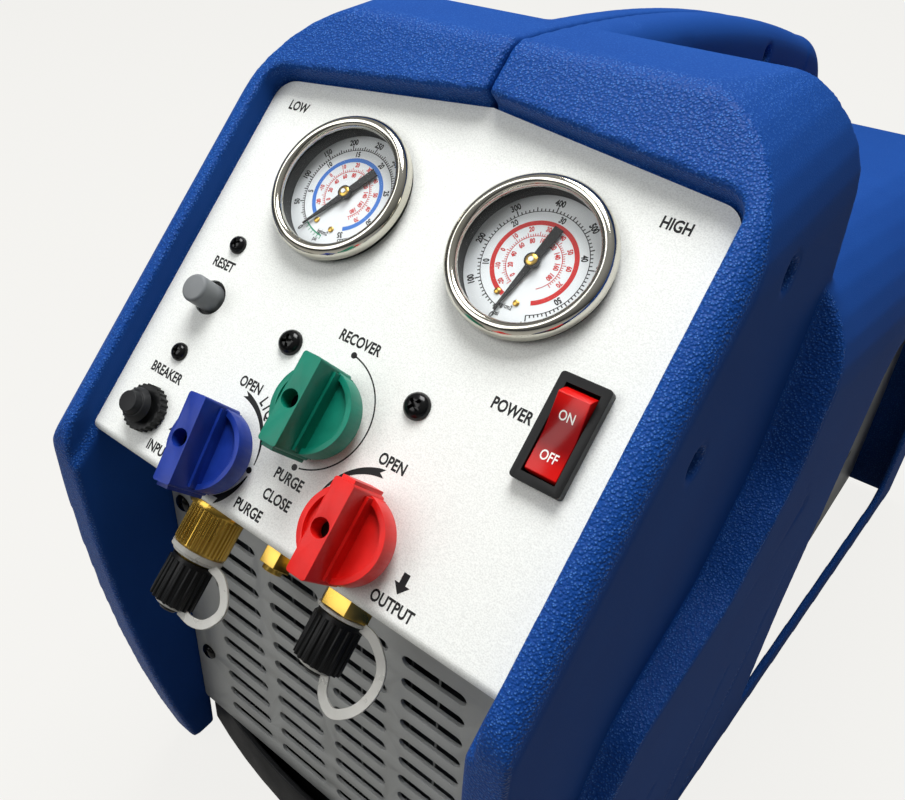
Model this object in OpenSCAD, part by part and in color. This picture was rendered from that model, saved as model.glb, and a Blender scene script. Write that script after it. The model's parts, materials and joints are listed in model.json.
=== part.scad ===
// Portable refrigerant recovery machine with a sloped control panel under a moulded hood.
// Millimetres. Z is up, the ground is Z = 0, the front faces -Y and X runs to the viewer's right.
// Body modules measure y from the lower edge of the control panel; panel modules work on its slope.

/* [Housing] */
// Length from the lower edge of the panel to the rear wall
body_length = 438; // [400:1:480]
// Width across the flanks at the rear wall
rear_width = 256; // [230:1:290]
// Half width of the flanks in line with the lower edge of the panel
flank_front_half = 108; // [103:0.5:118]
// Half width of the hood and the cheeks
cheek_half = 100; // [92:0.5:102]
// Half width between the cheeks
throat_half = 86; // [80:0.5:90]
// Wall of the moulded shell
wall = 3.5; // [2.5:0.1:5]
// Depth of the grooves in the flanks
groove_depth = 1.6; // [0.8:0.1:2.4]
// Height of the underside of the shell
shell_clear = 5; // [3:0.5:10]
// Width of the seam between the shell halves
seam_gap = 0.6; // [0.2:0.1:1.5]
// Reach of the chin ahead of the panel edge
chin_reach = 12; // [8:0.5:16]
// Radius of the chin
chin_r = 22; // [10:1:26]
// Radius of the long front sweep of the cheeks
sweep_r = 850; // [700:10:1200]
// Height of the rim above the panel
rim = 9; // [5:0.5:12]
// Edge radius of the rim
rim_r = 9; // [4:0.5:12]
// Length of the hood's front face corner up the slope
hood_v = 178; // [170:1:186]
// Radius of the hood's shoulders
shoulder_r = 42; // [30:1:55]
// Length of the hood's top from front to rear
hood_length = 44; // [36:1:60]
// Height of the deck where it meets the hood
deck_front_z = 286; // [275:1:300]
// Height of the deck at the rear wall
deck_rear_z = 240; // [225:1:255]
// Radius along the top edge of each flank
deck_r = 44; // [20:1:52]

/* [Handle] */
// Radius of the handle's top line
handle_arc = 1000; // [800:10:1300]
// Thickness of the handle bar
handle_t = 28; // [24:1:36]
// Half width of the handle bar
handle_half = 18; // [15:0.5:24]
// Edge radius of the handle bar
handle_r = 11; // [6:0.5:14]
// Radius at the inside of the rear leg
leg_inner_r = 30; // [22:1:40]
// Thickening of the rear leg on every side
leg_swell = 0.5; // [0.3:0.1:1]
// Angle by which the rear leg laps over the bar
leg_lap = 6; // [4:0.5:8]

/* [Panel] */
// Tilt of the panel from level
panel_tilt = 42.4; // [36:0.1:48]
// Height of the lower edge of the panel
panel_edge_z = 226; // [210:1:240]
// Half width of the opening in the rim
opening_half = 89; // [87:0.5:92]
// Slope length of the opening at the middle
opening_mid_v = 159.4; // [150:0.1:166]
// Slope length of the opening at its sides
opening_side_v = 149; // [142:0.1:156]
// Gap around the panel
panel_gap = 1; // [0.6:0.1:2]
// Sheet thickness
sheet = 1.5; // [1:0.1:2]
// Depth of the flange bent back from the lower edge
flange_depth = 40; // [34:0.5:44]
// Outer radius of the bend
bend_r = 3; // [2:0.1:4]

/* [Grille] */
// Setback of the grille behind the panel edge
grille_y = 27.7; // [24:0.1:32]
// Height of the lower edge of the grille
grille_bottom = 33.5; // [28:0.5:40]
// Height of the upper edge of the grille
grille_top = 196; // [186:0.5:196]
// Columns of slots
slot_columns = 4; // [2:1:4]
// Rows of slots
slot_rows = 11; // [6:1:12]
// Spacing of the columns
slot_pitch_x = 33.3; // [31:0.1:35]
// Spacing of the rows
slot_pitch_z = 12.4; // [10:0.1:13]
// Slot length
slot_length = 27; // [22:0.5:28]
// Slot height
slot_height = 5.8; // [4:0.1:7]
// Height of the top row
slot_top_z = 170.4; // [160:0.1:176]

/* [Gauges] */
// Distance of each gauge from the centre line
gauge_u = 37.2; // [34:0.1:42]
// Distance of the gauges up the slope
gauge_v = 115.3; // [108:0.1:120]
// Outer radius of the bezel
bezel_r = 26.5; // [24:0.1:28]
// Height of the bezel above the panel
bezel_h = 7.5; // [6:0.1:9]
// Inner radius of the gauge case
case_bore = 22.6; // [20:0.1:24]
// Wall of the gauge case
case_wall = 1.2; // [0.8:0.1:2]
// Length of the pointer
needle_length = 18.5; // [14:0.1:20]
// Direction of the low pointer from the up-slope line
low_needle_angle = 146; // [0:1:180]
// Direction of the high pointer from the up-slope line
high_needle_angle = 167; // [0:1:180]

/* [Valves] */
// Distance of the outer valves from the centre line
valve_u = 29.7; // [28:0.1:34]
// Distance of the outer valves up the slope
valve_v = 17; // [15:0.1:20]
// Distance of the middle valve up the slope
mode_v = 44.4; // [42:0.1:48]
// Radius of a knob
knob_r = 14.5; // [12:0.1:16]
// Height of a knob's underside above the panel
knob_lift = 4; // [3:0.1:6]
// Height of a knob's skirt
skirt_h = 8; // [6:0.1:10]
// Height of a knob's top above the panel
knob_top = 24; // [20:0.1:28]
// Width of a knob's bar
bar_width = 7; // [5:0.1:9]
// Length of a knob's bar
bar_length = 30; // [26:0.1:34]
// Turn of the input knob from the slope line
input_turn = 7; // [-20:1:20]
// Radius of a valve stem
stem_r = 4; // [3:0.1:5]
// Running clearance of turning fits
run = 0.06; // [0.02:0.01:0.1]
// Depth of the manifold block
manifold_depth = 26; // [22:0.5:32]

/* [Ports] */
// Depth of the port axes below the panel
port_w = -15; // [-18:0.5:-12]
// Slope distance of the input cap's end
cap_end_v = -37; // [-44:0.5:-30]
// Outer radius of a cap over its ribs
cap_r = 8.4; // [7:0.1:10]
// Length of a cap
cap_length = 16; // [12:0.1:20]
// Radius of the threaded nose of a port
nose_r = 6.2; // [5:0.1:7]
// Radius of the knurled coupler
coupler_r = 10; // [9:0.1:12]
// Radius of the shank of a port
shank_r = 5.5; // [4:0.1:6]
// Thickness of the straps
strap_t = 1.2; // [0.8:0.1:2]
// Radius of the straps' loops
loop_r = 10; // [9.9:0.1:12]

/* [Switches] */
// Distance of the power switch from the centre line
switch_u = 70.9; // [66:0.1:74]
// Distance of the power switch up the slope
switch_v = 71.4; // [66:0.1:78]
// Width of the switch frame
switch_w = 15.8; // [14:0.1:18]
// Length of the switch frame
switch_l = 33.2; // [30:0.1:36]
// Height of the switch frame above the panel
frame_h = 3.8; // [2:0.1:5]
// Half of the rocker's swing
rocker_swing = 10; // [6:0.5:12]
// Distance of the left controls from the centre line
left_u = 67.7; // [64:0.1:72]
// Distance of the reset button up the slope
reset_v = 62; // [58:0.1:66]
// Radius of the reset button
reset_r = 5.2; // [4:0.1:6]
// Distance of the breaker up the slope
breaker_v = 16.3; // [14:0.1:20]
// Radius of the breaker nut
breaker_r = 8.6; // [7:0.1:9]

/* [Chassis] */
// Height of the tray's underside
tray_clear = 8; // [6:0.5:12]
// Thickness of the tray's floor
tray_t = 3; // [2:0.1:4]
// Half width of the tray behind the cheeks
tray_half = 104; // [98:0.5:105]
// Radius of the bow of the tray's front
bow_r = 300; // [240:5:500]
// Setback of the tray's front behind the panel edge
tray_y = 20; // [18:0.5:24]
// Height of the rear cover above the tray
cover_h = 205; // [190:1:206]
// Height of the fan axis
fan_z = 105; // [98:1:112]
// Tip radius of the fan
fan_r = 60; // [50:1:64]
// Number of fan blades
fan_blades_n = 5; // [3:1:7]
// Height of the drive motor's axis
motor_z = 64; // [58:1:70]
// Radius of the drive motor
motor_r = 46; // [40:1:50]
// Distance of each cylinder from the centre line
head_x = 26; // [25:0.5:30]
// Setback of the cylinders behind the panel edge
head_y = 266; // [262:1:270]
// Height of the top of the cylinder heads
head_top = 160; // [150:1:170]
// Radius of the pipes
pipe_r = 4; // [3:0.1:5]
// Bend radius of the pipes
pipe_bend = 12; // [9:0.5:16]
// Straight rise of the suction pipe above the head
suction_rise = 59; // [54:1:62]
// Straight rise of the discharge pipe above the head
discharge_rise = 32; // [28:1:36]

/* [Hidden] */
$fn = 64;
far = 600;
tray_top = tray_clear + tray_t;
hood_rear_y = slope_y(hood_v, rim) + hood_length;
handle_c = [hood_rear_y - handle_arc * sin(7.4), hood_z(0) - handle_arc * cos(5)];
leg_r = leg_inner_r + handle_t;
handle_turn = asin((body_length - 1 - leg_r - handle_c[0]) / (handle_arc - leg_r));
panel_edge_y = -(body_length + slope_y(cap_end_v, port_w + cap_r)) / 2;
panel_half = opening_half - panel_gap;
coupler_v = cap_end_v + cap_length + 4;
dial_w = -2;
lens_w = 3.2;
pivot_w = frame_h - 5;
deck_fall = atan((deck_front_z - deck_rear_z) / (body_length - hood_foot_y()));
flare = atan((rear_width / 2 - flank_front_half) / body_length);

// Position on the slope: distance v up the panel and w out from its face.
function slope_y(v, w) = v * cos(panel_tilt) - w * sin(panel_tilt);
function slope_z(v, w) = panel_edge_z + v * sin(panel_tilt) + w * cos(panel_tilt);
function hood_z(back) = slope_z(hood_v, rim) - back * tan(6);
function hood_foot_y() = slope_y(hood_v, rim) + hood_length + 12;
function flank_half(y) = flank_front_half + (rear_width / 2 - flank_front_half) * y / body_length;
function unit(p) = p / norm(p);
function turn(p, a) = [p[0] * cos(a) - p[1] * sin(a), p[0] * sin(a) + p[1] * cos(a)];
// One corner of an outline, given as [x, y, radius] between its neighbours.
function corner(p, q, s, n) =
  let (a = unit([p[0] - q[0], p[1] - q[1]]), b = unit([s[0] - q[0], s[1] - q[1]]))
  let (half = acos(max(-1, min(1, a * b))) / 2)
  q[2] == 0 || half > 89.5 ? [[q[0], q[1]]] :
  let (c = [q[0], q[1]] + unit(a + b) * q[2] / sin(half), from = a * q[2] / tan(half))
  let (v0 = [q[0], q[1]] + from - c, sweep = (a[0] * b[1] - a[1] * b[0] > 0 ? -1 : 1) * (180 - 2 * half))
  [for (i = [0:n]) c + turn(v0, sweep * i / n)];
function rounded(c, n = 8) =
  [for (i = [0:len(c) - 1]) each corner(c[(i + len(c) - 1) % len(c)], c[i], c[(i + 1) % len(c)], n)];
function box_outline(half_x, y0, y1, r) =
  rounded([[-half_x, y0, r], [half_x, y0, r], [half_x, y1, r], [-half_x, y1, r]]);

module in_body() translate([0, panel_edge_y, 0]) children();
module on_panel(u = 0, v = 0, w = 0)
  translate([0, panel_edge_y, panel_edge_z]) rotate([panel_tilt, 0, 0]) translate([u, v, w]) children();
// Outline in the side view, swept across the width.
module side_plate(x0, x1, pts) translate([x0, 0, 0]) rotate([90, 0, 90]) linear_extrude(x1 - x0) polygon(pts);
// Outline in the front view, swept from y0 to y1.
module front_plate(y0, y1, pts) translate([0, y1, 0]) rotate([90, 0, 0]) linear_extrude(y1 - y0) polygon(pts);
// Cylinder along the slope, from v0 down to v1.
module down_slope(r, v0, v1, sides = 64)
  translate([0, v0, 0]) rotate([90, 0, 0]) cylinder(r = r, h = v0 - v1, $fn = sides);
module pin_y(r, y0, y1) translate([0, y1, 0]) rotate([90, 0, 0]) cylinder(r = r, h = y1 - y0);
module pin_x(r, x0, x1) translate([x0, 0, 0]) rotate([0, 90, 0]) cylinder(r = r, h = x1 - x0);
// Round-ended slot lying flat, as long as l and as wide as h.
module slot(l, h) {
  square([l - h, h], center = true);
  for (s = [-1, 1]) translate([s * (l - h) / 2, 0]) circle(h / 2);
}
module ring(r_out, r_in, w0, w1) translate([0, 0, w0]) difference() {
  cylinder(r = r_out, h = w1 - w0);
  translate([0, 0, -1]) cylinder(r = r_in, h = w1 - w0 + 2);
}

// Side view of the cheek and the hood.
function chin_v() = (rim * sin(panel_tilt) - chin_reach) / cos(panel_tilt);
function chin_z() = slope_z(chin_v(), rim);
function sweep_y(z) = sweep_r - chin_reach - sqrt(sweep_r * sweep_r - (chin_z() - z) * (chin_z() - z));
function cheek_outline() = rounded(concat(
  [[sweep_y(shell_clear), shell_clear, 4]],
  [for (i = [1:6]) let (z = shell_clear + (chin_z() - 26 - shell_clear) * i / 6) [sweep_y(z), z, 0]],
  [[-chin_reach, chin_z(), chin_r]],
  [[slope_y(hood_v, rim), hood_z(0), 10]],
  [[hood_rear_y, hood_z(hood_length), 8]],
  [[hood_foot_y(), deck_front_z - 8, 0]],
  [[hood_foot_y(), shell_clear, 0]]));
// Side view of the wide flank behind the step.
function flank_outline(inset) = rounded([
  [27 + inset, shell_clear - 5 * inset, 0],
  [30 + inset, 95, 60],
  [62 + inset, 156 - inset, 28],
  [118 + inset, 176 - inset, 36],
  [152 + inset, 212, 40],
  [hood_foot_y() - 6 + inset, deck_front_z - inset, 0],
  [body_length - inset, deck_rear_z - inset, 22],
  [body_length - inset, shell_clear - 5 * inset, 0]]);
// Flank side and deck with the rounded edge between them, moved inwards by inset.
module flank_prism(inset)
  translate([flank_half(body_length) - inset, body_length, deck_rear_z - inset])
    rotate([-deck_fall, 0, -flare])
      front_plate(-far, 100, rounded([[-far, -far, 0], [0, -far, 0], [0, 0, deck_r - inset], [-far, 0, 0]]));
module handle_section(r0, grow = 0) translate([r0 - grow, 0]) let (t = handle_t + 2 * grow, half = handle_half + grow) {
  square([t, half - handle_r]);
  translate([handle_r, 0]) square([t - 2 * handle_r, half]);
  translate([handle_r, half - handle_r]) circle(handle_r);
  translate([t - handle_r, half - handle_r]) circle(handle_r);
}
// Half of the handle bar, from inside the hood over to the rear leg.
module half_handle() translate([0, handle_c[0], handle_c[1]]) rotate([90, 0, 90]) rotate([0, 0, 90 - handle_turn]) {
  rotate_extrude(angle = handle_turn - 5) handle_section(handle_arc - handle_t);
  translate([handle_arc - leg_r, 0, 0]) rotate([0, 0, handle_turn - 90])
    rotate_extrude(angle = 90 - handle_turn + leg_lap) handle_section(leg_inner_r, leg_swell);
}
module half_outside() {
  intersection() {
    side_plate(0, cheek_half, cheek_outline());
    translate([0, 0, panel_edge_z]) rotate([panel_tilt, 0, 0])
      front_plate(-far, far, rounded([[0, -far, 0], [cheek_half, -far, 0], [cheek_half, rim, rim_r], [0, rim, 0]]));
    front_plate(-far, far, rounded([[0, 0, 0], [cheek_half, 0, 0], [cheek_half, hood_z(0), shoulder_r], [0, hood_z(0), 0]]));
  }
  intersection() {
    side_plate(0, rear_width, flank_outline(0));
    flank_prism(0);
  }
  half_handle();
}
// Opening in the rim; it runs out between the cheeks at the bottom.
function opening_outline(gap) = rounded([
  [-opening_half + gap, -80, 0],
  [opening_half - gap, -80, 0],
  [opening_half - gap, opening_side_v - gap, 8],
  [0, opening_mid_v - gap, 0],
  [-opening_half + gap, opening_side_v - gap, 8]]);
function cavity_outline() = [
  [-far, -far],
  [slope_y(-80, -sheet), slope_z(-80, -sheet)],
  [slope_y(opening_side_v - 2, -sheet), slope_z(opening_side_v - 2, -sheet)],
  [hood_rear_y - 16, hood_z(0) - 30],
  [hood_foot_y(), deck_front_z - 14],
  [body_length - wall, deck_rear_z - wall - 2],
  [body_length - wall, -far]];
function arch_outline() = rounded([
  [206, 20, 8], [214, 90, 60], [247, 222, 24], [body_length - 30, 206, 30], [body_length - 30, 20, 14]]);
// Grooves in each flank: slivers in the side view, pointed at one end.
function sliver(a, b, w) = let (n = turn(unit(b - a), 90) * w / 2) [a, b + n, b - n];
module flank_grooves() difference() {
  union() {
    side_plate(cheek_half, rear_width, sliver([167, 206], [182, 179], 2.4));
    side_plate(cheek_half, rear_width, sliver([90.7, 139], [182.6, 180.6], 2.4));
    side_plate(cheek_half, rear_width, sliver([209, 164], [148, 14], 6));
    side_plate(cheek_half, rear_width, sliver([164.6, 137], [112, 24], 6));
    side_plate(cheek_half, rear_width, sliver([111.7, 116], [72, 46], 5));
  }
  flank_prism(groove_depth);
}
function side_screws() = [[slope_y(143, -22), slope_z(143, -22)], [slope_y(83, -25), slope_z(83, -25)]];
function handle_screw_at() = [
  [handle_c[0] + (handle_arc - handle_t / 2) * sin(16.7), handle_c[1] + (handle_arc - handle_t / 2) * cos(16.7)],
  [body_length - handle_t - 2, deck_rear_z + 17]];
module half_shell() in_body() difference() {
  half_outside();
  translate([0, 0, panel_edge_z]) rotate([panel_tilt, 0, 0])
    translate([0, 0, -sheet]) linear_extrude(100) polygon(opening_outline(0));
  side_plate(-1, throat_half, cavity_outline());
  intersection() {
    side_plate(-1, rear_width, flank_outline(wall));
    flank_prism(wall);
  }
  side_plate(throat_half + 12, rear_width, arch_outline());
  front_plate(body_length - 2 * wall, body_length + 1, box_outline(98, 20, 206, 12));
  for (p = side_screws()) translate([0, p[0], p[1]]) pin_x(5, cheek_half - 6, rear_width);
  flank_grooves();
  translate([seam_gap / 2 - far, -far, -far]) cube([far, 3 * far, 3 * far]);
}

module left_shell() color("royalblue") mirror([1, 0, 0]) half_shell();
module right_shell() color("royalblue") difference() {
  half_shell();
  in_body() for (p = handle_screw_at()) translate([0, p[0], p[1]]) pin_x(4, handle_half - 6, rear_width);
}
module shell_screws() color("dimgray") in_body() for (side = [-1, 1]) for (p = side_screws())
  translate([0, p[0], p[1]]) pin_x(4.2, side < 0 ? -cheek_half + 3.4 : cheek_half - 6, side < 0 ? -cheek_half + 6 : cheek_half - 3.4);
module handle_screws() color("dimgray") in_body() for (p = handle_screw_at())
  translate([0, p[0], p[1]]) pin_x(3.4, handle_half - 6, handle_half - 3.8);

// Control panel: folded sheet with the flange that carries the ports.
module control_panel() color("gainsboro") on_panel() difference() {
  union() {
    intersection() {
      translate([0, 0, -sheet]) linear_extrude(sheet) polygon(opening_outline(panel_gap));
      translate([-far, bend_r, -far]) cube(2 * far);
    }
    side_plate(-panel_half, panel_half, rounded([
      [bend_r + 0.1, -sheet, 0], [sheet, -sheet, bend_r - sheet], [sheet, -bend_r, 0],
      [0, -bend_r, 0], [0, 0, bend_r], [bend_r + 0.1, 0, 0]]));
    translate([-throat_half + 1, 0, -flange_depth]) cube([2 * throat_half - 2, sheet, flange_depth - bend_r]);
  }
  for (s = [-1, 1]) {
    translate([s * gauge_u, gauge_v, -5]) cylinder(r = case_bore + case_wall + 0.3, h = 10);
    translate([s * valve_u, valve_v, -5]) cylinder(r = stem_r + 1, h = 10);
    translate([s * 26.5, 60.5, -5]) cylinder(r = 2.3, h = 10);
    translate([s * valve_u, 0, port_w]) down_slope(shank_r + 0.5, 5, -5);
    translate([-left_u, 61.5 + s * 21.9, -5]) cylinder(r = 1.8, h = 10);
  }
  translate([0, 0, port_w]) down_slope(4.5, 5, -5);
  translate([0, mode_v, -5]) cylinder(r = stem_r + 1, h = 10);
  translate([-left_u, reset_v, -5]) cylinder(r = reset_r + 1.4, h = 10);
  translate([-left_u, breaker_v, -5]) cylinder(r = 5.2, h = 10);
  translate([switch_u - 6.6, switch_v - 14.6, -5]) cube([13.2, 29.2, 10]);
}

function grille_screw_at() = [[78, 172], [76, 76]];
module front_grille() color("silver") in_body() difference() {
  front_plate(grille_y, grille_y + sheet, box_outline(throat_half - 1, grille_bottom, grille_top, 2));
  for (i = [0:slot_columns - 1]) for (j = [0:slot_rows - 1])
    translate([(i - (slot_columns - 1) / 2) * slot_pitch_x, 0, slot_top_z - j * slot_pitch_z])
      translate([0, grille_y + sheet + 1, 0]) rotate([90, 0, 0]) linear_extrude(sheet + 2) slot(slot_length, slot_height);
  for (s = [-1, 1]) for (p = grille_screw_at())
    translate([s * p[0], 0, p[1]]) pin_y(2.2, 0, 60);
}
module grille_screws() color("dimgray") in_body() for (s = [-1, 1]) for (p = grille_screw_at())
  translate([s * p[0], 0, p[1]]) {
    pin_y(4, grille_y - 2.2, grille_y);
    pin_y(2, grille_y - 1, grille_y + 5);
  }

// Tray with a bowed front lip; it joins the shell halves and carries the works.
function bow(x, y) = y + bow_r - sqrt(bow_r * bow_r - x * x);
function tray_outline(y) = concat(
  [for (i = [-6:6]) [i * throat_half / 6, bow(i * throat_half / 6, y)]],
  [[throat_half, 100], [tray_half, 110], [tray_half, body_length - wall]],
  [[-tray_half, body_length - wall], [-tray_half, 110], [-throat_half, 100]]);
module base_tray() color("black") in_body() {
  translate([0, 0, tray_clear]) linear_extrude(tray_t) polygon(tray_outline(tray_y));
  translate([0, 0, tray_clear]) linear_extrude(grille_bottom - tray_clear) difference() {
    polygon(tray_outline(tray_y));
    polygon(tray_outline(tray_y + 3));
  }
}
module rubber_feet() color("black") in_body() for (s = [-1, 1]) for (p = [[62, 62], [84, body_length - 38]])
  translate([s * p[0], p[1], 0]) cylinder(r1 = 10, r2 = 12, h = tray_clear);

// Sheet cover round the works, seen through the side arches and the rear opening.
module rear_cover() color("silver") in_body() difference() {
  translate([-tray_half, 196, tray_top]) cube([2 * tray_half, body_length - wall - 196, cover_h]);
  translate([-tray_half + sheet, 190, 0]) cube([2 * tray_half - 2 * sheet, body_length - wall - sheet - 190, far]);
  for (i = [0:3]) for (j = [0:7]) translate([(i - 1.5) * 40, 0, 92 + j * 13])
    translate([0, body_length, 0]) rotate([90, 0, 0]) linear_extrude(10) slot(30, 5.6);
  for (i = [0:2]) for (j = [0:7]) translate([0, 286 + i * 42, 62 + j * 16])
    translate([-rear_width, 0, 0]) rotate([90, 0, 90]) linear_extrude(2 * rear_width) slot(30, 5.6);
  translate([60, 0, 46]) front_plate(body_length - 10, body_length, box_outline(14.2, -10.2, 10.2, 2));
}
module power_inlet() color("black") in_body() translate([60, 0, 46]) difference() {
  union() {
    front_plate(body_length - 26, body_length - wall, box_outline(13.8, -9.8, 9.8, 2));
    front_plate(body_length - wall, body_length - wall + 2, box_outline(17, -12.5, 12.5, 3));
  }
  front_plate(body_length - 18, body_length + 1, box_outline(12, -8, 8, 3));
}

module condenser_coil() color("silver") in_body() difference() {
  union() {
    for (s = [-1, 1]) {
      translate([s * 79 - 1, grille_y + sheet, grille_bottom + run]) cube([2, 41, 190 - grille_bottom - run]);
      translate([s * 79 - 1, bow(80, tray_y + 3) + 1, tray_top]) cube([2, grille_y + sheet + 40 - bow(80, tray_y + 3), 179]);
      translate([s * 76.5 - 7.5, grille_y + sheet, 40]) cube([15, 2, 150]);
    }
    for (i = [-6:6]) translate([i * 12 - 0.5, 35, 42]) cube([1, 33, 146]);
    for (y = [43, 60]) for (k = [0:4]) translate([0, y, 56 + k * 29]) pin_x(4, -82, 82);
  }
  for (s = [-1, 1]) for (p = grille_screw_at()) translate([s * p[0], 0, p[1]]) pin_y(2.2, 20, 60);
}
module fan_shroud() color("dimgray") in_body() translate([0, 0, fan_z]) difference() {
  union() {
    front_plate(grille_y + sheet + 41, grille_y + sheet + 43, box_outline(80, tray_top - fan_z, 190 - fan_z, 3));
    pin_y(fan_r + 6, grille_y + sheet + 42, 95);
  }
  pin_y(fan_r + 4, 0, far);
}
module fan_blades() color("dimgray") in_body() translate([0, 86, fan_z]) difference() {
  union() {
    pin_y(14, -9, 9);
    for (i = [0:fan_blades_n - 1]) rotate([0, i * 360 / fan_blades_n, 0]) translate([11, 0, 0]) rotate([38, 0, 0])
      translate([0, -1, -11]) cube([fan_r - 12.5, 2, 22]);
  }
  pin_y(stem_r + run, -30, 30);
}
module fan_motor() color("gray") in_body() translate([0, 0, fan_z]) {
  pin_y(30, 104, 150);
  pin_y(12, 100, 105);
  pin_y(stem_r, 78, 101);
}
module fan_bracket() color("silver") in_body() {
  front_plate(150, 153, box_outline(36, tray_top, fan_z + 36, 4));
  translate([-36, 150, tray_top]) cube([72, 34, 3]);
}

module compressor_block() color("slategray") in_body() {
  front_plate(226, 308, box_outline(50, tray_top, 92, 8));
  for (s = [-1, 1]) translate([s * head_x, head_y, 90]) {
    cylinder(r = 21, h = head_top - 110);
    for (k = [0:3]) translate([0, 0, 8 + k * 10]) cylinder(r = 24.5, h = 4);
  }
}
module cylinder_heads() color("slategray") in_body() for (s = [-1, 1]) translate([s * head_x, head_y, head_top - 20]) difference() {
  translate([-24, -28, 0]) cube([48, 56, 20]);
  for (k = [-2:2]) translate([k * 9 - 2, -40, 9]) cube([4, 80, 20]);
}
module compressor_motor() color("gray") in_body() translate([0, 0, motor_z]) {
  pin_y(motor_r, 308, 404);
  pin_y(motor_r - 8, 403, 420);
}
module motor_cradle() color("silver") in_body() difference() {
  for (y = [326, 380]) front_plate(y, y + 8, box_outline(44, tray_top, motor_z - 20, 3));
  translate([0, 0, motor_z]) pin_y(motor_r + 0.15, 300, 420);
}

// Valve block behind the panel; the valve stems turn in it and the ports seat against it.
module valve_manifold() color("burlywood") on_panel() difference() {
  union() {
    translate([-valve_u - 15, sheet + 4, -4 - manifold_depth]) cube([2 * valve_u + 30, 56, manifold_depth]);
    for (p = [[-valve_u, valve_v], [0, mode_v], [valve_u, valve_v], [-26.5, 60.5 - 6], [26.5, 60.5 - 6]])
      translate([p[0], p[1], -5]) cylinder(r = p[1] > 50 ? 5.5 : 8, h = 5 - sheet);
  }
  for (p = [[-valve_u, valve_v], [0, mode_v], [valve_u, valve_v]])
    translate([p[0], p[1], -manifold_depth]) cylinder(r = stem_r + run, h = far);
  for (s = [-1, 1]) translate([s * 26.5, 60.5, -16]) cylinder(r = 2.3, h = far);
}
// Bent pipe in the side view: each step is a straight length and the turn after it.
module pipe(steps, i = 0) {
  rotate([0, 90, 0]) cylinder(r = pipe_r, h = steps[i][0]);
  if (i < len(steps) - 1) translate([steps[i][0], 0, 0]) let (a = steps[i][1], side = sign(a)) {
    translate([0, side * pipe_bend, 0]) rotate([0, 0, side > 0 ? -90 : 90 + a]) rotate_extrude(angle = abs(a))
      translate([pipe_bend, 0]) circle(pipe_r);
    translate([pipe_bend * sin(abs(a)), side * pipe_bend * (1 - cos(a)), 0]) rotate([0, 0, a]) pipe(steps, i + 1);
  }
}
module pipe_from(x, y, z, heading, steps) in_body() translate([x, y, z]) rotate([90, 0, 90]) rotate([0, 0, heading]) pipe(steps);
module suction_tube() color("peru") difference() {
  pipe_from(-head_x, head_y, head_top, 90, [[suction_rise, 90], [head_y - 40 - pipe_bend, 0]]);
  on_panel(0, 0, -4 - manifold_depth) translate([-far, -far, 0]) cube(2 * far);
}
module discharge_tube() color("peru") pipe_from(head_x, head_y, head_top, 90,
  [[discharge_rise, 90], [head_y - 51 - 2 * pipe_bend, 90], [head_top + discharge_rise - 188, 0]]);

module stem(u, v) color("silver") on_panel(u, v) translate([0, 0, -manifold_depth + 1]) difference() {
  cylinder(r = stem_r, h = manifold_depth - 1 + knob_top - 10);
  translate([0, 0, manifold_depth + knob_top - 21]) cylinder(r = 1.6, h = 30);
}
module input_stem() stem(-valve_u, valve_v);
module mode_stem() stem(0, mode_v);
module output_stem() stem(valve_u, valve_v);
// Bar knob: round skirt with sunk faces, full-width bar, small nub at the end pointed by nub.
module knob(turned, nub) translate([0, 0, knob_lift]) rotate([0, 0, turned]) difference() {
  union() {
    difference() {
      cylinder(r = knob_r, h = skirt_h);
      translate([0, 0, skirt_h - 2]) cylinder(r = knob_r - 1.9, h = 10);
    }
    translate([0, 0, 0]) linear_extrude(knob_top - knob_lift) polygon(
      rounded([[-bar_width / 2, -bar_length / 2, 1], [bar_width / 2, -bar_length / 2, 1],
        [bar_width / 2, bar_length / 2, 1], [-bar_width / 2, bar_length / 2, 1]], 4));
    side_plate(-bar_width / 2 - 1, bar_width / 2 + 1, [[-bar_length / 2 + 1, 0], [bar_length / 2 - 1, 0],
      [bar_length / 2 - 1.6, skirt_h + 3], [-bar_length / 2 + 1.6, skirt_h + 3]]);
    translate([-bar_width / 2 + 1.2, nub * bar_length / 2 - 1.2, 0]) cube([bar_width - 2.4, 2.4, knob_top - knob_lift - 1.5]);
  }
  translate([0, 0, -1]) cylinder(r = stem_r + 0.02, h = knob_top - knob_lift - 9);
  translate([0, 0, knob_top - knob_lift - 8]) cylinder(r = 3, h = 20);
  translate([0, 0, 1]) cylinder(r = 1.8, h = 20);
}
module input_knob() color("blue") on_panel(-valve_u, valve_v) knob(input_turn, -1);
module mode_knob() color("seagreen") on_panel(0, mode_v) knob(0, -1);
module output_knob() color("red") on_panel(valve_u, valve_v) knob(0, 1);
module knob_screw(u, v) color("dimgray") on_panel(u, v, knob_top - 8) {
  cylinder(r = 2.8, h = 2);
  translate([0, 0, -8]) cylinder(r = 1.5, h = 9);
}
module input_knob_screw() knob_screw(-valve_u, valve_v);
module mode_knob_screw() knob_screw(0, mode_v);
module output_knob_screw() knob_screw(valve_u, valve_v);

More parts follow.
